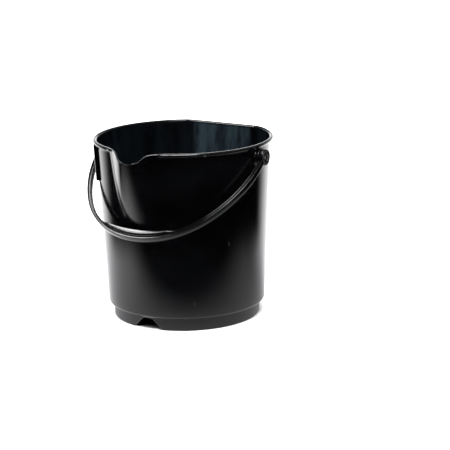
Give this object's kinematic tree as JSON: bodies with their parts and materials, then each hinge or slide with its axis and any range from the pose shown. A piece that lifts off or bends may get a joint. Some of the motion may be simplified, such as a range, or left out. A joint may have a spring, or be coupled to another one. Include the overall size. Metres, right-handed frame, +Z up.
{
  "type": "florist bucket",
  "caption": "Deep tapered bucket with a pouring spout, a flat back, a rolled rim, a foot ring and a swinging moulded bail for carrying cut flowers in water.",
  "frame": {"origin": "on the round axis of the tub, at the floor that the foot ring stands on", "axes": "+Z up along the round axis, -Y towards the spout, +Y towards the flat back, X along the bail's hinge line"},
  "size_m": [0.296, 0.2806, 0.28],
  "materials": {
    "body_plastic": "black moulded polypropylene, glossy outside, satin foot ring",
    "bail_plastic": "black moulded polypropylene, semi-gloss"
  },
  "bodies": {
    "bucket": {"bucket_body": "body_plastic"},
    "bail": {"bail_handle": "bail_plastic"}
  },
  "joints": [
    {"name": "bail_swing", "type": "hinge", "parent": "bucket", "child": "bail", "pos_m": [0, 0, 0.2595], "axis": [-1, 0, 0], "range_deg": [0, 260]}
  ]
}
